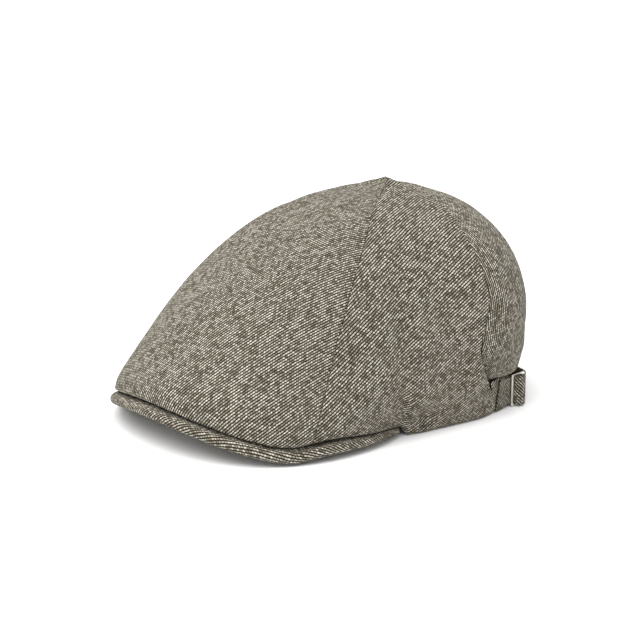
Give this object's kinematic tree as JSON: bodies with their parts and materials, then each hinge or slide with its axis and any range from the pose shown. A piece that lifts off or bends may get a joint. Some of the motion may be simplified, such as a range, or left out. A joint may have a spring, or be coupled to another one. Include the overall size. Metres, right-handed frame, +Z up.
{
  "type": "flat cap",
  "caption": "Soft tweed flat cap: rounded crown of cloth panels drawn down over a short stiff peak, open head hollow, rear strap drawn through a slim metal slide buckle.",
  "frame": {"origin": "middle of the cap's plan box, at the level of the hem that it rests on", "axes": "+Z up through the crown, -Y out over the peak, +X towards the wearer's left"},
  "size_m": [0.1814, 0.2475, 0.122],
  "materials": {
    "tweed": "brown and cream twill tweed",
    "peak_tweed": "brown and cream twill tweed over a stiff board",
    "strap_tweed": "darker brown tweed",
    "satin_steel": "satin"
  },
  "bodies": {
    "root": {"front_panel": "tweed", "side_panel_left": "tweed", "side_panel_right": "tweed", "back_panel": "tweed", "peak": "peak_tweed", "strap_right": "strap_tweed", "strap_left": "strap_tweed", "buckle": "satin_steel"}
  },
  "joints": []
}
